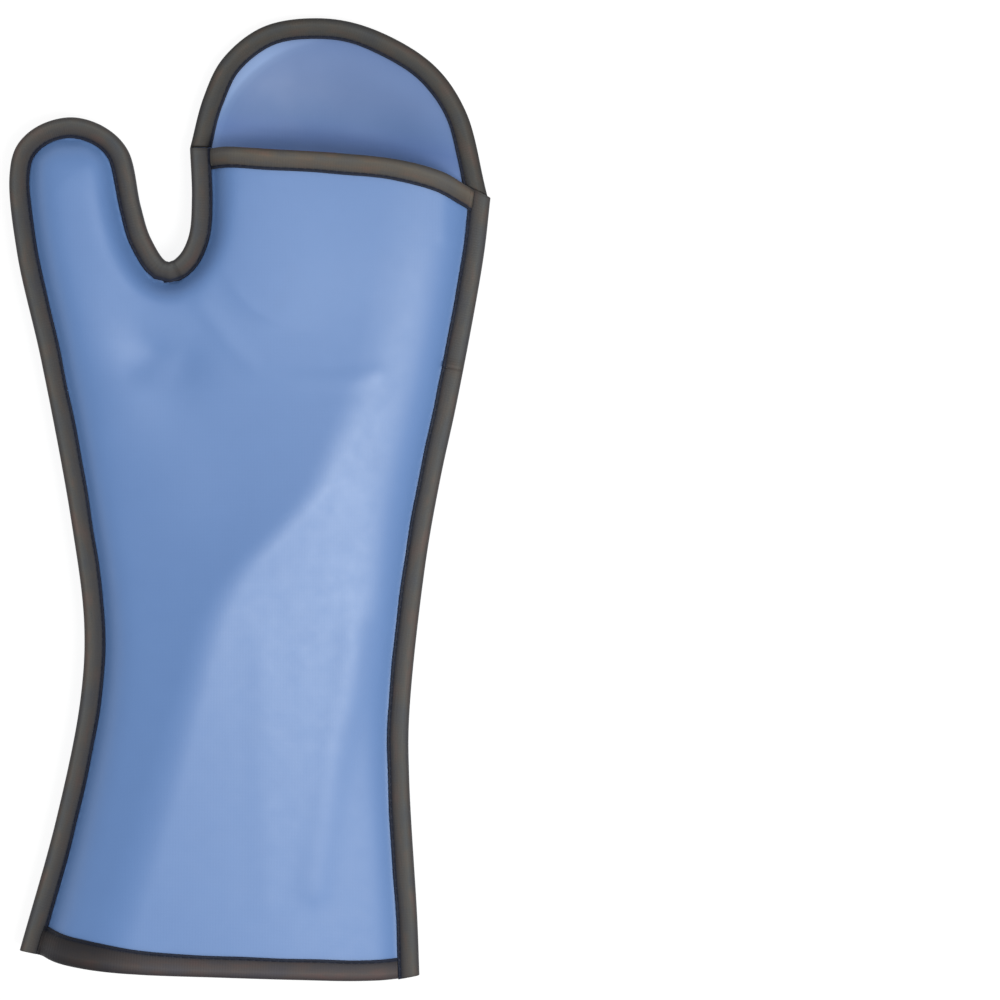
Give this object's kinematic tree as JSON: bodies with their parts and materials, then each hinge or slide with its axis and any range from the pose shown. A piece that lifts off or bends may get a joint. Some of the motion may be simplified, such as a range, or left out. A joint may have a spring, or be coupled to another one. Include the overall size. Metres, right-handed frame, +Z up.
{
  "type": "lead lined glove",
  "caption": "Open palm radiation shielding mitt of two lined panels, with a thumb, a finger half-moon and bound edges.",
  "frame": {"origin": "on the surface the mitt lies on, under the centre of its bounding box", "axes": "+X from the thumb to the little finger, +Y from the cuff to the fingertips, +Z up out of the palm"},
  "size_m": [0.2, 0.4002, 0.0353],
  "materials": {
    "palm_cover": "satin coated cloth",
    "back_cover": "satin coated cloth",
    "side_tape": "matt woven tape",
    "half_moon_tape": "matt woven tape",
    "mouth_tape": "matt woven tape",
    "hem_tape": "matt woven tape"
  },
  "bodies": {
    "root": {"palm_panel": "palm_cover", "back_panel": "back_cover", "thumb_side_binding": "side_tape", "hand_side_binding": "side_tape", "little_finger_binding_lower": "side_tape", "little_finger_binding_upper": "side_tape", "half_moon_binding": "half_moon_tape", "palm_mouth_binding": "mouth_tape", "palm_cuff_binding": "hem_tape", "back_cuff_binding": "hem_tape"}
  },
  "joints": []
}
